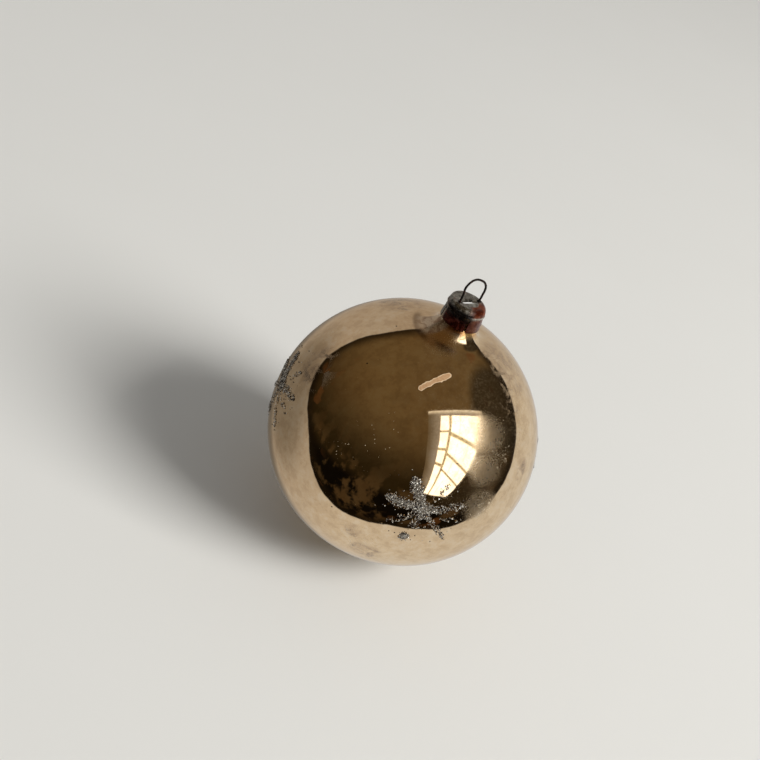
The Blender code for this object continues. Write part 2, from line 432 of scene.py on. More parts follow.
def ball_unit(g, point):
    """The direction from the ball's middle, as if the ball were a true sphere."""
    offset = g.vector("SUBTRACT", point, tuple(BALL_CENTRE))
    round_offset = g.vector("DIVIDE", offset, (1.0, 1.0, BALL_FLATTENING))
    return offset, g.vector("NORMALIZE", round_offset)


def lacquer_colour(g, point, unit):
    """Champagne gold with its tarnish; also gives the tarnish mask."""
    broad = g.noise(point, 55.0, 3.0)
    fine = g.noise(point, 900.0, 5.0, 0.65)
    blotch = g.noise(point, 260.0, 6.0, 0.62, 0.6)
    gold = g.mix(g.step(broad, 0.35, 0.68), *GOLD)
    mottle = g.noise(point, 320.0, 6.0, 0.68)
    gold = g.mix(g.times(g.step(mottle, 0.49, 0.60), 0.34), gold, BROWN_MOTTLE)
    gold = g.mix(g.times(g.step(mottle, 0.49, 0.38), 0.30), gold, PALE_MOTTLE)
    zone = patches(g, unit, TARNISH)
    spots = g.times(g.step(blotch, 0.50, 0.62), g.blend(zone, 0.0, 0.85))
    tarnish = g.times(spots, g.blend(g.step(fine, 0.38, 0.60), 0.40, 1.0))
    film = g.times(zone, g.step(blotch, 0.34, 0.56), 0.62)
    colour = g.mix(film, gold, TARNISH_FILM)
    return g.mix(tarnish, colour, TARNISH_SPOT), tarnish


def small_marks(g, point, unit):
    """Masks for pale dust, black pits and hair scratches."""
    cells = g.node("ShaderNodeTexVoronoi", Vector=point, Scale=1000.0, Randomness=1.0)
    size = g.blend(patches(g, unit, DUST), 0.030, 0.17)
    rare = g.step(g.noise(point, 420.0, 1.0), 0.50, 0.60)
    share = g.math("DIVIDE", cells.outputs["Distance"], size)
    dust = g.times(g.step(share, 1.0, 0.5), rare)
    pits = g.node("ShaderNodeTexVoronoi", Vector=point, Scale=150.0, Randomness=1.0)
    pit = g.math("LESS_THAN", pits.outputs["Distance"], 0.032)
    lines = g.noise(g.vector("MULTIPLY", point, (1.0, 2.4, 0.7)), 230.0, 2.0, 0.5, 1.4)
    hair = g.step(g.apart(lines, 0.5), 0.0040, 0.0015)
    return dust, pit, g.times(hair, patches(g, unit, SCRATCHED))


def dash_mask(g, point):
    """A short bar where the lacquer has been rubbed to its tan underside, with a brighter rim."""
    wobble = g.math("MULTIPLY", g.less(g.noise(point, 600.0, 3.0), 0.5), 1.1 * MM)
    reach = g.total(dash_distance(g, point), wobble)
    dash = g.step(reach, DASH_HALF_WIDTH, DASH_HALF_WIDTH * 0.86)
    rim = g.times(dash, g.step(reach, DASH_HALF_WIDTH * 0.60, DASH_HALF_WIDTH * 0.80))
    return dash, rim


def neck_colour(g, point, around):
    """The lacquer pools on the neck: red-brown in front, amber to the right, pale to the left."""
    blotch = g.noise(point, 420.0, 5.0, 0.62, 0.5)
    front = g.mix(g.step(blotch, 0.40, 0.60), *NECK_FRONT)
    amber = g.mix(g.step(blotch, 0.38, 0.62), *NECK_AMBER)
    pale = g.mix(g.step(blotch, 0.42, 0.60), *NECK_PALE)
    right = g.beside(around, -66.0, 24.0, 58.0)
    left = g.beside(around, 152.0, 20.0, 52.0)
    return g.mix(left, g.mix(right, front, amber), pale)


def lacquer_on_neck(g, point, offset, unit, colour):
    """Adds the amber pool at the neck's foot, the dark fold on its flank and the neck's own
    lacquer; also gives the neck's mask."""
    x, y, height = g.node("ShaderNodeSeparateXYZ", offset).outputs[:3]
    around = g.vector("NORMALIZE", flat_offset(g, x, y))
    pool = g.near(unit, direction(radians(-170.0), radians(79.0)), 3.0, 9.0)
    colour = g.mix(g.times(pool, 0.7), colour, NECK_POOL)
    flank = g.beside(around, FLANK_SIDE, 20.0, 42.0)
    neck = g.step(height, g.blend(flank, *NECK_FROM), g.blend(flank, *NECK_TO))
    from_fold = g.apart(height, FOLD_HEIGHT)
    fold = g.step(from_fold, 0.40 * MM, 0.05 * MM)
    colour = g.mix(g.times(fold, flank, 0.75), colour, NECK_FOLD)
    return g.mix(neck, colour, neck_colour(g, point, around)), neck


def gold_glass():
    """Silvered glass under a worn champagne-gold lacquer."""
    mat, g, shader, point = new_material("gold_glass")
    offset, unit = ball_unit(g, point)

    colour, tarnish = lacquer_colour(g, point, unit)
    grit = g.noise(point, 1800.0, 4.0, 0.65)
    cloud = g.noise(point, 150.0, 4.0, 0.6)
    haze = g.times(patches(g, unit, HAZE), g.blend(g.step(grit, 0.46, 0.66), 0.15, 1.0),
                   g.blend(g.step(cloud, 0.35, 0.62), 0.40, 1.0))
    colour = g.mix(g.times(haze, 0.40), colour, HAZE_COLOUR)

    dust, pit, scratch = small_marks(g, point, unit)
    colour = g.mix(g.times(dust, 0.45), colour, DUST_COLOUR)
    colour = g.mix(pit, colour, PIT_COLOUR)
    colour = g.mix(g.times(scratch, 0.8), colour, SCRATCH_COLOUR)

    dash, rim = dash_mask(g, point)
    scraped = g.mix(g.step(grit, 0.35, 0.7), *SCRAPED_TAN)
    colour = g.mix(dash, colour, g.mix(rim, scraped, SCRAPED_RIM))
    colour, neck = lacquer_on_neck(g, point, offset, unit, colour)

    glow = g.times(patches(g, unit, GLOW), g.blend(g.step(grit, 0.40, 0.60), 0.88, 1.0))
    matte = g.most(g.times(tarnish, 0.42), g.times(haze, 0.07), g.times(glow, 0.27),
                   g.times(dust, 0.6), g.times(scratch, 0.35), g.times(dash, 0.5),
                   g.times(neck, 0.14))
    smudge = g.times(g.step(g.noise(point, 120.0, 4.0, 0.6), 0.45, 0.75), 0.03)
    bare = g.most(g.times(dash, 0.85), g.times(dust, 0.55), g.times(scratch, 0.7),
                  g.times(tarnish, 0.45), g.times(neck, 0.22), g.times(haze, 0.05))
    g.fill(shader, Base_Color=colour, Roughness=g.total(matte, smudge, 0.03),
           Metallic=g.outside(bare), Specular_Tint=(0.96, 0.90, 0.80), Coat_Weight=0.25,
           Coat_Roughness=0.02)
    relief = g.total(g.noise(point, 55.0, 3.0), g.times(g.most(dash, tarnish), 0.12))
    bump(g, shader, relief, 0.10 * MM, 0.6)
    return mat


def cap_colour(g, around, spread, depth, grime, patch):
    """Grey tin, with red rust on the right, maroon tongues, near-black on the front and a painted
    highlight on the bead.
    """
    red = g.mix(g.step(patch, 0.36, 0.6), *RED_RUST)
    maroon = g.mix(g.step(patch, 0.4, 0.62), *MAROON)
    black = g.mix(g.step(grime, 0.45, 0.7), *FRONT_BLACK)
    right = g.beside(around, -66.0, 30.0, 66.0)
    front = g.beside(around, -152.0, 38.0, 56.0)
    back = g.beside(around, 60.0, 20.0, 70.0)
    skirt = g.step(depth, 2.3 * MM, 2.7 * MM)
    uneven = g.total(g.times(patch, 1.6), -0.3)

    colour = g.mix(g.step(grime, 0.36, 0.62), *GREY_TIN)
    colour = g.mix(g.times(g.step(patch, 0.55, 0.66), 0.5), colour, maroon)
    crown = g.times(right, g.step(spread, 2.2 * MM, 2.9 * MM), g.step(depth, 1.9 * MM, 1.5 * MM))
    colour = g.mix(g.times(crown, g.step(uneven, -0.10, 0.20)), colour, red)
    colour = g.mix(g.times(right, skirt), colour, maroon)
    colour = g.mix(g.times(back, skirt, g.step(uneven, 0.3, 0.6)), colour, maroon)
    # Near-black on the front shoulder, the side that faces the camera.
    colour = g.mix(g.times(front, g.step(depth, 0.5 * MM, 1.5 * MM), 0.97), colour, black)
    low = g.times(front, g.step(depth, 2.8 * MM, 4.8 * MM), g.step(uneven, 0.20, 0.5))
    colour = g.mix(g.times(low, 0.9), colour, LOW_RUST)

    # A painted highlight of pale tin along the bead; the same pale tin along the tongue edge at one
    # slit.
    from_bead = g.apart(depth, BEAD_DEPTH)
    bead = g.times(g.step(from_bead, 0.30 * MM, 0.10 * MM), g.step(grime, 0.36, 0.52),
                   g.outside(front))
    edge = g.times(skirt, g.beside(around, 162.5, 1.2, 2.8))
    return g.mix(g.times(g.most(bead, edge), 0.65), colour, PALE_TIN_HIGHLIGHT), right


def trough_strip(g, x, y, depth):
    """Painted highlight: a plain white strip along the trough between the wire's feet."""
    along = g.times(g.step(x, -2.4 * MM, -1.9 * MM), g.step(x, 1.4 * MM, 0.8 * MM))
    across = g.math("ABSOLUTE", g.total(y, 0.38 * MM))
    return g.times(along, g.step(across, 0.60 * MM, 0.42 * MM), g.step(depth, 0.7 * MM, 0.5 * MM))


def cap_metal():
    """Tinplate: grey where the tin is left, red-brown rust, near-black on the front, and a painted
    white highlight along the trough.
    """
    mat, g, shader, point = new_material("rusty_tin")
    x, y, z = g.node("ShaderNodeSeparateXYZ", point).outputs[:3]
    outwards = flat_offset(g, x, y)
    around = g.vector("NORMALIZE", outwards)
    spread = g.vector("LENGTH", outwards)
    depth = g.less(CAP_TOP, z)

    grime = g.noise(point, 900.0, 6.0, 0.65)
    patch = g.noise(point, 380.0, 5.0, 0.6, 0.8)
    grit = g.noise(point, 4200.0, 4.0, 0.6)
    colour, right = cap_colour(g, around, spread, depth, grime, patch)
    strip = trough_strip(g, x, y, depth)

    rusty = g.most(right, g.step(patch, 0.5, 0.62))
    rough = g.total(g.times(g.step(grime, 0.35, 0.7), 0.20), g.times(grit, 0.20), 0.10)
    # The trough strip is a painted highlight: white and not metallic.
    g.fill(shader, Base_Color=g.mix(strip, colour, TROUGH_HIGHLIGHT_WHITE), Roughness=rough,
           Metallic=g.times(g.blend(rusty, 0.92, 0.30), g.outside(strip)),
           Specular_IOR_Level=0.25)
    relief = g.total(g.times(grime, 0.7), g.times(grit, 0.3))
    bump(g, shader, relief, 0.05 * MM, 0.9)
    return mat


def wire_steel():
    """Dark scaled steel with some red rust."""
    mat, g, shader, point = new_material("rusty_wire")
    scale = g.noise(point, 1500.0, 5.0, 0.65)
    rust = g.noise(point, 420.0, 4.0, 0.6)
    colour = g.mix(g.step(scale, 0.4, 0.65), *DARK_WIRE)
    colour = g.mix(g.times(g.step(rust, 0.5, 0.62), 0.8), colour, WIRE_RUST)
    g.fill(shader, Base_Color=colour, Roughness=g.blend(scale, 0.30, 0.62), Metallic=0.75)
    bump(g, shader, scale, 0.05 * MM, 0.9)
    return mat


def grain_material():
    """Silver-grey flakes, each as bright as its face's tone says."""
    mat, g, shader, _ = new_material("glitter_grains")
    tone = g.node("ShaderNodeAttribute", settings={"attribute_name": "tone"}).outputs["Fac"]
    ramp = g.node("ShaderNodeValToRGB", tone)
    stops = ramp.color_ramp.elements
    for position, colour in GRAIN_STOPS[1:-1]:
        stops.new(position).color = (*colour, 1.0)
    stops[0].color = (*GRAIN_STOPS[0][1], 1.0)
    stops[-1].color = (*GRAIN_STOPS[-1][1], 1.0)
    g.fill(shader, Base_Color=ramp.outputs[0], Roughness=g.blend(tone, 0.42, 0.14), Metallic=0.5)
    return mat


def glue_material():
    """Cloudy grey glue."""
    mat, g, shader, point = new_material("glitter_glue")
    cloud = g.noise(point, 1300.0, 5.0, 0.6)
    colour = g.mix(g.step(cloud, 0.38, 0.62), *GREY_GLUE)
    g.fill(shader, Base_Color=colour, Roughness=g.blend(cloud, 0.30, 0.65), Metallic=0.25)
    bump(g, shader, cloud, 0.10 * MM, 0.9)
    return mat


def floor_material():
    mat, g, shader, point = new_material("pale_floor")
    mottle = g.noise(point, 6.0, 4.0, 0.6)
    tooth = g.noise(point, 900.0, 4.0, 0.6)
    g.fill(shader, Base_Color=g.mix(mottle, *PALE_FLOOR), Roughness=g.blend(tooth, 0.55, 0.75))
    bump(g, shader, tooth, 0.05 * MM, 0.4)
    return mat


# ---- Mesh helpers ----
def mesh_object(name, verts, faces, mats, smooth_angle=40.0):
    mesh = bpy.data.meshes.new(name)
    mesh.from_pydata([tuple(v) for v in verts], [], faces)
    mesh.validate()
    mesh.shade_smooth()
    mesh.set_sharp_from_angle(angle=radians(smooth_angle))
    for mat in mats:
        mesh.materials.append(mat)
    return linked(name, mesh)


def arc(centre, radius, start, end, steps):
    turns = [start + (end - start) * i / steps for i in range(steps + 1)]
    return [(centre[0] + radius * cos(t), centre[1] + radius * sin(t)) for t in turns]


def put_piece(piece, body, slot, *nodes):
    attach(piece, body)
    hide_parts(*nodes)


# ---- Glass ball ----
def ball_profile():
    """From the outside's lowest point up to the rim and down the inside, as (r, z)."""
    rim = NECK_RIM - BALL_CENTRE.z
    fillet_r = NECK_RADIUS + NECK_FILLET
    fillet_z = sqrt((BALL_RADIUS + NECK_FILLET) ** 2 - fillet_r ** 2)
    meet = asin(fillet_z / (BALL_RADIUS + NECK_FILLET))
    outside = arc((0.0, 0.0), BALL_RADIUS, -pi / 2, meet, BALL_ARC_STEPS)
    outside += arc((fillet_r, fillet_z), NECK_FILLET, pi + meet, pi, NECK_STEPS)[1:]
    outside = [(r, z * BALL_FLATTENING) for r, z in outside]
    lip = (NECK_RADIUS - NECK_BORE_RADIUS) / 2
    outside += arc((NECK_RADIUS - lip, rim - lip), lip, 0.0, pi, LIP_STEPS)
    inner = BALL_RADIUS - GLASS_WALL
    bore_meet = asin(sqrt(inner ** 2 - NECK_BORE_RADIUS ** 2) / inner)
    inside = arc((0.0, 0.0), inner, bore_meet, -pi / 2, BALL_ARC_STEPS // 3)
    return outside + [(r, z * BALL_FLATTENING) for r, z in inside]


def make_ball():
    profile = ball_profile()
    columns = BALL_SEGMENTS
    verts = [Vector((0.0, 0.0, profile[0][1])) + BALL_CENTRE]
    for r, z in profile[1:-1]:
        for column in range(columns):
            turn = 2 * pi * column / columns
            verts.append(Vector((r * cos(turn), r * sin(turn), z)) + BALL_CENTRE)
    verts.append(Vector((0.0, 0.0, profile[-1][1])) + BALL_CENTRE)
    faces = []
    rows = len(profile) - 2
    for column in range(columns):
        after = (column + 1) % columns
        faces.append((0, 1 + after, 1 + column))
        for row in range(rows - 1):
            low, high = 1 + row * columns, 1 + (row + 1) * columns
            faces.append((low + column, low + after, high + after, high + column))
        last = 1 + (rows - 1) * columns
        faces.append((last + column, last + after, len(verts) - 1))
    ball = mesh_object("glass_ball_shell", verts, faces, [gold_glass()])
    put_piece(ball, "ball", "silvered_glass", "glass_ball")


# ---- Cap ----
def cap_rows():
    """The cap's outer surface from the top's middle to the skirt's rim, as (r, depth)."""
    edge = CAP_RADIUS - CAP_SHOULDER
    rows = [(edge * i / TOP_RINGS, 0.0) for i in range(TOP_RINGS + 1)]
    shoulder = arc((edge, -CAP_SHOULDER), CAP_SHOULDER, pi / 2, 0.0, SHOULDER_STEPS)
    rows += [(r, -z) for r, z in shoulder[1:]]
    bead_top = BEAD_DEPTH - BEAD_HALF_HEIGHT
    for step in range(BEAD_STEPS + 1):
        share = step / BEAD_STEPS
        swell = (BEAD_RADIUS - CAP_RADIUS - BEAD_SHRINK) * sin(pi * share) ** 1.5
        rows.append((CAP_RADIUS + swell, bead_top + 2 * BEAD_HALF_HEIGHT * share))
    for step in range(1, SKIRT_STEPS + 1):
        share = step / SKIRT_STEPS
        rows.append((CAP_RADIUS + (SKIRT_RADIUS - CAP_RADIUS) * share,
                     SLIT_TOP_DEPTH + (CAP_HEIGHT - SLIT_TOP_DEPTH) * share - SKIRT_SHRINK))
    return rows


def cap_point(r, depth, turn):
    """A pressed cap is never quite round: shallow dents, and tongues bent in or out a little."""
    place = Vector((cos(turn) * 1.7, sin(turn) * 1.7, depth / (3 * MM)))
    dent = noise.noise(place) * 0.16 * MM + noise.noise(place * 3.1) * 0.05 * MM
    share = min(1.0, r / CAP_RADIUS)
    down = max(0.0, depth - SLIT_TOP_DEPTH) / (CAP_HEIGHT - SLIT_TOP_DEPTH)
    tongue = int(((turn - FIRST_SLIT) % (2 * pi)) / (2 * pi / SLIT_COUNT))
    crisp = 0.8 * max(0.0, cos(turn - CRISP_SIDE)) * share ** 2
    radius = r + dent * share ** 4 + TONGUE_LEAN[tongue] * down + crisp * max(0.0, CAP_RADIUS - r)
    x, y = radius * cos(turn), radius * sin(turn)
    sink = 0.0
    if depth < 0.01 * MM:
        trough = (abs(y) / TROUGH_HALF_WIDTH) ** 4 + (abs(x) / TROUGH_HALF_LENGTH) ** 10
        sink = TROUGH_DEPTH / (1.0 + 3.0 * trough) * (1.0 - share ** 8)
        sink += (0.06 * noise.noise(Vector((x, y, 0.0)) * 700.0) + 0.04) * MM * (1.0 - share ** 2)
    return Vector((x, y, CAP_TOP - depth - max(0.0, sink)))


def column_turns():
    """Angles of the cap's columns: even, with two extra at each slit's edges."""
    turns = {round(2 * pi * i / CAP_COLUMNS, 6) for i in range(CAP_COLUMNS)}
    half = SLIT_HALF_WIDTH / CAP_RADIUS
    cuts = []
    for number in range(SLIT_COUNT):
        middle = (FIRST_SLIT + number * 2 * pi / SLIT_COUNT) % (2 * pi)
        turns = {t for t in turns if abs(t - middle) > half * 1.6}
        turns |= {middle - half, middle + half}
        cuts.append(middle)
    return sorted(turns), cuts


def make_cap():
    rows = cap_rows()
    turns, cuts = column_turns()
    count = len(turns)
    verts = [cap_point(0.0, 0.0, 0.0)]
    for r, depth in rows[1:]:
        verts += [cap_point(r, depth, turn) for turn in turns]
    faces = []
    for column in range(count):
        after = (column + 1) % count
        span = (turns[after] - turns[column]) % (2 * pi)
        middle = (turns[column] + span / 2) % (2 * pi)
        slit = any(abs(middle - cut) < 0.5 * SLIT_HALF_WIDTH / CAP_RADIUS for cut in cuts)
        faces.append((0, 1 + column, 1 + after))
        for row in range(len(rows) - 2):
            if slit and rows[row + 1][1] >= SLIT_TOP_DEPTH - 0.03 * MM:
                continue
            high, low = 1 + row * count, 1 + (row + 1) * count
            faces.append((high + column, low + column, low + after, high + after))
    cap = mesh_object("cap_shell", verts, faces, [cap_metal()], 35.0)
    sheet = cap.modifiers.new("tin", "SOLIDIFY")
    sheet.thickness = TIN
    sheet.offset = -1.0
    punch_holes(cap)
    soften = cap.modifiers.new("soften", "BEVEL")
    soften.width = EDGE_ROUNDING
    soften.segments = 2
    soften.limit_method = "ANGLE"
    soften.angle_limit = radians(50.0)
    put_piece(cap, "cap", "tinplate", "cap")


def punch_holes(cap):
    """Two holes for the wire's legs."""
    bm = bmesh.new()
    for side in (-1, 1):
        place = Matrix.Translation((side * FOOT_OFFSET, 0.0, CAP_TOP))
        bmesh.ops.create_cone(bm, cap_ends=True, segments=HOLE_SEGMENTS, radius1=HOLE_RADIUS,
                              radius2=HOLE_RADIUS, depth=3 * MM, matrix=place)
    punch = from_bmesh("hole_punch", bm)
    cut = cap.modifiers.new("holes", "BOOLEAN")
    cut.operation = "DIFFERENCE"
    cut.solver = "EXACT"
    cut.object = punch
    settle(cap)
    bpy.data.objects.remove(punch, do_unlink=True)


def settle(obj):
    """Puts the modifiers' result into the mesh."""
    shaped = obj.evaluated_get(bpy.context.evaluated_depsgraph_get())
    mesh = bpy.data.meshes.new_from_object(shaped)
    obj.modifiers.clear()
    obj.data = mesh


# ---- Wire ----
def wire_route():
    """Centre line up one leg, round the hand-bent loop and down the other leg."""
    rise = WIRE_HIGH.z - WIRE_RADIUS - (CAP_TOP + LOOP_STRAIGHT)
    straight_top = CAP_TOP + LOOP_STRAIGHT
    leg_end = WIRE_LOW.z
    leg = straight_top - leg_end
    arch = pi * sqrt((FOOT_OFFSET ** 2 + rise ** 2) / 2)
    steps = int((2 * leg + arch) / MM * WIRE_RINGS_PER_MM)
    route = []
    for step in range(steps + 1):
        walked = (2 * leg + arch) * step / steps
        if walked < leg:
            point = Vector((FOOT_OFFSET, 0.0, leg_end + walked))
        elif walked > leg + arch:
            point = Vector((-FOOT_OFFSET, 0.0, leg_end + 2 * leg + arch - walked))
        else:
            turn = pi * (walked - leg) / arch
            point = Vector((FOOT_OFFSET * cos(turn), 0.0, straight_top + rise * sin(turn)))
        point.x -= loop_lean(point)
        route.append(point + wire_wobble(point))
    return route


def loop_lean(point):
    """The loop has been squeezed over to one side: the left limb bulges and the top leans."""
    above = max(0.0, point.z - CAP_TOP)
    height = min(1.0, above / (WIRE_HIGH.z - CAP_TOP))
    clear = min(1.0, max(0.0, above / MM - 1.0) / 3.0)
    bulge = LOOP_BULGE * max(0.0, -point.x / FOOT_OFFSET) * clear
    return LOOP_TOP_LEAN * height ** 5 + bulge


def wire_wobble(point):
    """Small bends from being pinched and hooked; none where the wire passes the cap."""
    above = point.z - CAP_TOP
    free = min(1.0, max(0.0, above - 0.6 * MM) / (2.4 * MM))
    if above < 0.0:
        free = min(1.0, max(0.0, -above - 2 * MM) / (6 * MM)) * 0.4
    place = point * 260.0
    sway = Vector((noise.noise(place), noise.noise(place + Vector((9.0, 4.0, 2.0))), 0.0))
    return sway * 0.22 * MM * free


def make_wire():
    route = wire_route()
    verts, faces = [], []
    for number, point in enumerate(route):
        ahead = route[min(number + 1, len(route) - 1)] - route[max(number - 1, 0)]
        across = ahead.normalized().cross(Vector((0.0, 1.0, 0.0))).normalized()
        over = across.cross(ahead).normalized()
        for side in range(WIRE_SIDES):
            turn = 2 * pi * side / WIRE_SIDES
            out = across * cos(turn) + over * sin(turn)
            pitted = 1.0 + WIRE_PITTING * noise.noise((point + out * WIRE_RADIUS) * 2600.0)
            verts.append(point + out * WIRE_RADIUS * WIRE_SLIMMING * pitted)
    rings = len(route)
    for ring in range(rings - 1):
        for side in range(WIRE_SIDES):
            after = (side + 1) % WIRE_SIDES
            low, high = ring * WIRE_SIDES, (ring + 1) * WIRE_SIDES
            faces.append((low + side, low + after, high + after, high + side))
    faces.append(tuple(range(WIRE_SIDES))[::-1])
    faces.append(tuple((rings - 1) * WIRE_SIDES + side for side in range(WIRE_SIDES)))
    wire = mesh_object("wire_loop", verts, faces, [wire_steel()], 60.0)
    put_piece(wire, "hanger", "steel_wire", "wire_hanger")


# ---- Glitter motifs ----
class MotifPlace:
    """Turns flat star coordinates in mm (east, north) into points on and above the ball."""

    def __init__(self, azimuth, latitude):
        self.out = direction(azimuth, latitude)
        self.east = UP.cross(self.out).normalized()
        self.north = self.out.cross(self.east)

    def normal(self, east, north):
        reach = sqrt(east * east + north * north)
        if reach == 0.0:
            return self.out.copy()
        bend = reach * MM / BALL_RADIUS
        along = (self.east * east + self.north * north) / reach
        return self.out * cos(bend) + along * sin(bend)

    def point(self, east, north, lift):
        unit = self.normal(east, north)
        return BALL_CENTRE + flattened(unit) + unit * lift * MM


def arm_frames(rng):
    """The star's arms, each copy a little different, as hand work is."""
    arms = []
    for bearing, length, width, left in ARMS:
        bearing += rng.uniform(-3.0, 3.0)
        arms.append((radians(bearing), length * rng.uniform(0.95, 1.04),
                     width * rng.uniform(0.92, 1.08), left))
    return arms


def petal_half_width(share, width):
    """Half the arm's width: narrow at the hub, widest two thirds out, round at the tip."""
    if share >= 1.0:
        return 0.0
    body = 0.30 + 0.70 * sin(pi * min(1.0, share * 0.78)) ** 0.8
    tip = sqrt(max(0.0, 1.0 - max(0.0, (share - 0.72) / 0.28) ** 2))
    return width / 2 * body * tip


def add_glue(place, arms, verts, faces):
    """Each full arm is a low domed strip of glue; the hub and a lone blob are low domes."""
    for bearing, length, width, left in arms:
        if left == 1.0:
            add_strip(place, bearing, length, width * 0.6, verts, faces)
    add_dome(place, 0.0, 0.0, HUB_RADIUS * 0.7, verts, faces)
    add_dome(place, *BLOB_PLACE, BLOB_RADIUS * 0.9, verts, faces)


def add_strip(place, bearing, length, width, verts, faces):
    """A domed strip of glue along an arm, with ragged sides."""
    across_steps, along_steps = 8, 26
    base = len(verts)
    for i in range(along_steps + 1):
        share = i / along_steps
        half = petal_half_width(min(share, 0.999), width)
        for j in range(across_steps + 1):
            side = 2 * j / across_steps - 1
            ragged = 1.0 + 0.15 * noise.noise(Vector((share * 9.0, side * 2.0, bearing * 5.0)))
            reach = share * length * 0.96
            east = reach * sin(bearing) + side * half * ragged * cos(bearing)
            north = reach * cos(bearing) - side * half * ragged * sin(bearing)
            dome = max(0.0, 1.0 - side * side) * min(1.0, (1.0 - share) * 8.0)
            verts.append(place.point(east, north, GLUE_HEIGHT * dome - 0.01))
    for i in range(along_steps):
        for j in range(across_steps):
            a = base + i * (across_steps + 1) + j
            b = a + across_steps + 1
            faces.append((a, b, b + 1, a + 1))


def add_dome(place, east, north, radius, verts, faces):
    """A low, slightly lobed drop of glue."""
    around, rings = 28, 5
    base = len(verts)
    verts.append(place.point(east, north, GLUE_HEIGHT))
    for ring in range(1, rings + 1):
        share = ring / rings
        for step in range(around):
            turn = 2 * pi * step / around
            reach = radius * share * (1.0 + 0.12 * sin(3 * turn + east) + 0.06 * sin(7 * turn))
            lift = GLUE_HEIGHT * (1.0 - share * share) - 0.01
            verts.append(place.point(east + reach * sin(turn), north + reach * cos(turn), lift))
    for step in range(around):
        after = (step + 1) % around
        faces.append((base, base + 1 + after, base + 1 + step))
        for ring in range(rings - 1):
            a, b = base + 1 + ring * around, base + 1 + (ring + 1) * around
            faces.append((a + step, a + after, b + after, b + step))


def grain_spots(arms, rng):
    """Where grains lie: (east, north, lift) in mm."""
    spots = []
    for number, (bearing, length, width, left) in enumerate(arms):
        count = int(length * width * 0.8 * GRAINS_PER_MM2 * left)
        for _ in range(count):
            share = rng.uniform(0.10, 1.0)
            half = petal_half_width(share, width)
            side = rng.uniform(-1.0, 1.0) * half + rng.gauss(0.0, 0.12)
            reach = share * length
            clump = noise.noise(Vector((reach * 0.9, side * 0.9, bearing * 7.0)))
            if left < 0.95 and clump < (0.5 - left) * 0.6:
                continue
            if number == BLOB_ARM and GAP_IN_ARM[0] < share < GAP_IN_ARM[1]:
                continue
            dome = max(0.0, 1.0 - (side / max(half, 0.2)) ** 2)
            spots.append((reach * sin(bearing) + side * cos(bearing),
                          reach * cos(bearing) - side * sin(bearing),
                          0.03 + GLUE_HEIGHT * dome))
    spots += round_spots(rng, 0.0, 0.0, HUB_RADIUS, 0.75)
    spots += round_spots(rng, *BLOB_PLACE, BLOB_RADIUS, 0.6)
    for _ in range(LOOSE_GRAINS):
        turn, reach = rng.uniform(0.0, 2 * pi), rng.uniform(*LOOSE_REACH)
        spots.append((reach * sin(turn), reach * cos(turn), 0.02))
    return spots


def round_spots(rng, east, north, radius, share):
    """Grains on a round drop of glue, of which share is covered."""
    spots = []
    for _ in range(int(pi * radius ** 2 * GRAINS_PER_MM2 * share)):
        turn, reach = rng.uniform(0.0, 2 * pi), radius * sqrt(rng.random()) * 1.1
        spots.append((east + reach * sin(turn), north + reach * cos(turn), 0.04 + GLUE_HEIGHT))
    return spots


def add_grains(place, arms, rng, verts, faces, tones):
    """Broken flat flakes, each a thin five- or six-sided plate tipped its own way."""
    for east, north, lift in grain_spots(arms, rng):
        normal = place.normal(east, north)
        side = normal.cross(Vector((rng.uniform(-1, 1), rng.uniform(-1, 1), rng.uniform(-1, 1))))
        side.normalize()
        tip = Quaternion(side, abs(rng.gauss(0.0, GRAIN_TILT)))
        face_out = tip @ normal
        across = face_out.cross(side).normalized()
        middle = place.point(east, north, lift + rng.uniform(0.0, 0.10))
        size = rng.uniform(*GRAIN_RADIUS) * MM
        corners = rng.choice((5, 6))
        outline = [rng.uniform(0.75, 1.15) * size for _ in range(corners)]
        base = len(verts)
        for level in (0.0, GRAIN_THICKNESS):
            for corner, reach in enumerate(outline):
                turn = 2 * pi * corner / corners
                out = (side * cos(turn) + across * sin(turn)) * reach
                verts.append(middle + out + face_out * level)
        faces.append(tuple(base + corners + corner for corner in range(corners)))
        faces.append(tuple(base + corner for corner in reversed(range(corners))))
        for corner in range(corners):
            after = (corner + 1) % corners
            faces.append((base + corner, base + after, base + corners + after,
                          base + corners + corner))
        tones += [grain_tone(rng)] * (corners + 2)


def grain_tone(rng):
    """A third of the grains have lost their silver, and a third are bright."""
    low, high = rng.choice(GRAIN_TONES)
    return rng.uniform(low, high)


def make_motif(number, glue, grain):
    """One star: its glue first, then its grains with a tone for each face."""
    rng = random.Random(40 + number)
    place = MotifPlace(MOTIF_AZIMUTH + number * 2 * pi / MOTIF_COUNT, MOTIF_LATITUDE)
    arms = arm_frames(rng)
    verts, faces, tones = [], [], []
    add_glue(place, arms, verts, faces)
    glue_faces = len(faces)
    add_grains(place, arms, rng, verts, faces, tones)
    motif = mesh_object(f"glitter_star_{number + 1}", verts, faces, [glue, grain], 30.0)
    mesh = motif.data
    mesh.polygons.foreach_set("material_index", [0] * glue_faces + [1] * len(tones))
    tone = mesh.attributes.new("tone", "FLOAT", "FACE")
    tone.data.foreach_set("value", [0.5] * glue_faces + tones)
    put_piece(motif, "ball", "glitter", f"glitter_motif_{number + 1}")


# ---- Stage ----
def add_floor():
    bm = bmesh.new()
    bmesh.ops.create_circle(bm, cap_ends=True, segments=96, radius=FLOOR_RADIUS)
    floor = from_bmesh("floor", bm)
    floor.location = (0.0, 0.0, BALL_LOW.z - FLOOR_GAP)
    floor.data.materials.append(floor_material())
    floor.visible_glossy = False


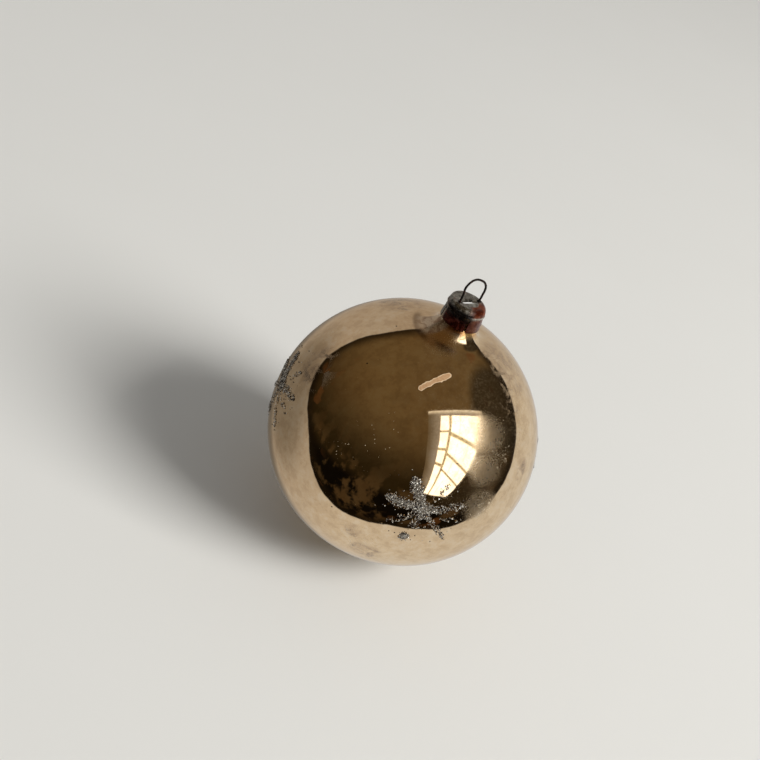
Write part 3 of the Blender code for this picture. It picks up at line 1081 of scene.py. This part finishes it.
def window_bars(g, across, over, upright):
    """The mullion, two fine uprights, and the sloping rails on each side of the mullion."""
    bar = g.step(g.apart(upright, MULLION), 0.013, 0.006)
    for place in FINE_UPRIGHTS:
        thin = g.step(g.apart(upright, place), 0.006, 0.001)
        bar = g.most(bar, g.times(thin, 0.35))
    right_side = g.math("GREATER_THAN", upright, MULLION)
    left_side = g.outside(right_side)
    for rails, where in ((RIGHT_RAILS, right_side), (LEFT_RAILS, left_side)):
        for slope, height, half in rails:
            line = g.less(g.total(over, g.times(across, slope)), height)
            rail = g.step(g.math("ABSOLUTE", line), half * 1.5, half * 0.6)
            bar = g.most(bar, g.times(rail, where))
    return bar


def add_window(g, ray, room):
    """A tall divided window with a deep reveal, seen only by glossy rays."""
    aim = direction(WINDOW_AZIMUTH, WINDOW_ELEVATION)
    level = UP.cross(aim).normalized()
    rise = aim.cross(level)
    facing = g.along(ray, aim)
    across = g.math("DIVIDE", g.along(ray, level), facing)
    over = g.math("DIVIDE", g.along(ray, rise), facing)
    upright = g.math("DIVIDE", g.less(across, CONVERGE_ACROSS),
                     g.less(over, CONVERGE_OVER))
    top = g.total(over, g.times(across, 0.26))
    above_sill = g.times(g.step(facing, 0.25, 0.3), g.step(over, SILL - 0.02, SILL + 0.02))

    right_edge = g.step(upright, PANES_RIGHT + 0.005, PANES_RIGHT - 0.005)
    panes = g.times(above_sill, g.step(upright, PANES_LEFT - 0.004, PANES_LEFT + 0.004),
                    right_edge, g.step(top, HEAD + 0.008, HEAD - 0.008))
    reveal = g.times(above_sill, g.step(upright, REVEAL_LEFT - 0.004, REVEAL_LEFT + 0.004),
                     right_edge, g.step(top, LINTEL + 0.008, LINTEL - 0.008))

    bar_colour = g.mix(g.step(g.noise(ray, 45.0, 3.0), 0.35, 0.65), *WINDOW_BARS)
    pane = g.mix(window_bars(g, across, over, upright), DAYLIGHT, bar_colour)
    jamb = g.mix(g.step(upright, REVEAL_LEFT, PANES_LEFT), *JAMB)
    jamb = g.mix(g.step(top, HEAD + 0.02, LINTEL), jamb, LIT_LINTEL)
    return g.mix(panes, g.mix(reveal, room, jamb), pane)


def add_room(g, ray, back, right, up):
    """A dark brown room, lighter towards its ceiling, with vague furniture."""
    height = g.node("ShaderNodeSeparateXYZ", ray).outputs[2]
    walls = g.mix(g.step(height, -0.10, 0.85), *WALLS)
    walls = g.mix(g.step(height, -0.18, -0.38), walls, ROOM_FOOT)
    clutter = g.noise(g.vector("MULTIPLY", ray, (1.0, 1.0, 0.7)), 3.6, 4.0, 0.6)
    low = g.step(height, 0.05, -0.35)
    cluttered = g.times(g.step(clutter, 0.50, 0.60), g.blend(low, 0.25, 0.8))
    room = g.mix(cluttered, walls, CLUTTER)
    warm = g.step(g.noise(ray, 5.5, 2.0, 0.5), 0.60, 0.66)
    beside = g.step(g.along(ray, back), 0.40, 0.05)
    room = g.mix(g.times(warm, beside, 0.6), room, WARM_SPOT)
    rightwards = (right * 0.97 + up * 0.25).normalized()
    edge = g.step(g.along(ray, rightwards), 0.86, 0.93)
    return g.mix(g.times(edge, 0.8), room, ROOM_SIDE)


def add_sweep(g, ray, back, right, up):
    """The pale sweep round the ornament, dull above and dark where its own shadow falls."""
    lit = g.step(g.along(ray, right * 0.6 - up * 0.8), -0.5, 0.45)
    sweep = g.mix(lit, *SWEEP)
    cloud = g.noise(ray, 3.0, 4.0, 0.6)
    sweep = g.mix(g.times(g.step(cloud, 0.45, 0.7), 0.22), sweep, SWEEP_CLOUD)
    shadow = g.near(ray, (-back * 0.94 - right * 0.33 + up * 0.05).normalized(), 6.0, 26.0)
    beside = g.near(ray, (up * 0.30 - back * 0.42 - right * 0.85).normalized(), 12.0, 42.0)
    dark = g.most(g.times(shadow, 0.80), g.times(beside, 0.62))
    return g.mix(dark, sweep, SWEEP_SHADOW)


def room_reach(g, ray, back, right, up):
    """Above a small negative number where the ball sees the room. The sweep's sheet is
    four-sided, so the room's outline in the ball is a rounded square."""
    side = g.along(ray, right)
    rise = g.along(ray, up)
    front = g.along(ray, back + right * 0.233 + up * 0.069)
    leaning = g.math("MULTIPLY_ADD", side, -0.5, 1.0)
    corners = g.times(side, side, rise, rise, leaning, 0.57)
    squash = g.times(g.less(g.times(side, side), g.times(rise, rise)), 0.055)
    wavy = g.times(g.less(g.noise(ray, 3.5, 3.0), 0.5), 0.08)
    return g.total(front, corners, g.total(squash, wavy))


def add_world():
    """Diffuse light is plain and pale. The mirror ball sees a pale sweep behind and below it, and
    a dark brown room with one window in front."""
    world = bpy.data.worlds.new("studio")
    world.use_nodes = True
    bpy.context.scene.world = world
    tree = world.node_tree
    tree.nodes.clear()
    g = Graph(tree)
    back, right, up = view_axes()
    ray = g.vector("NORMALIZE", g.node("ShaderNodeTexCoord").outputs["Generated"])
    reach = room_reach(g, ray, back, right, up)
    in_room = g.step(reach, -0.078, -0.054)

    room = add_room(g, ray, back, right, up)
    room = g.mix(g.times(g.step(reach, 0.14, -0.05), 0.85), room, ROOM_RIM)
    room = add_window(g, ray, room)
    sweep = add_sweep(g, ray, back, right, up)
    seen = g.node("ShaderNodeBackground", g.mix(in_room, sweep, room), 1.0).outputs[0]
    plain = g.node("ShaderNodeBackground", FILL_COLOUR, FILL).outputs[0]
    camera = g.node("ShaderNodeBackground", BACKDROP_COLOUR, 1.0).outputs[0]
    path = g.node("ShaderNodeLightPath")
    mixed = g.node("ShaderNodeMixShader", path.outputs["Is Glossy Ray"], plain, seen).outputs[0]
    mixed = g.node("ShaderNodeMixShader", path.outputs["Is Camera Ray"], mixed, camera).outputs[0]
    g.node("ShaderNodeOutputWorld", mixed)


def add_light():
    data = bpy.data.lights.new("window_light", "AREA")
    data.shape = "SQUARE"
    data.size = KEY_SIZE
    data.energy = KEY_POWER
    data.color = KEY_COLOUR
    lamp = linked("window_light", data)
    aim = direction(KEY_AZIMUTH, KEY_ELEVATION)
    lamp.location = BALL_CENTRE + aim * KEY_DISTANCE
    lamp.rotation_mode = "QUATERNION"
    lamp.rotation_quaternion = aim.to_track_quat("Z", "Y")
    lamp.visible_glossy = False


add_camera()
make_ball()
make_cap()
make_wire()
glue_mat, grain_mat = glue_material(), grain_material()
for quarter in range(MOTIF_COUNT):
    make_motif(quarter, glue_mat, grain_mat)
add_floor()
add_world()
add_light()
bpy.context.scene.view_settings.view_transform = "Standard"
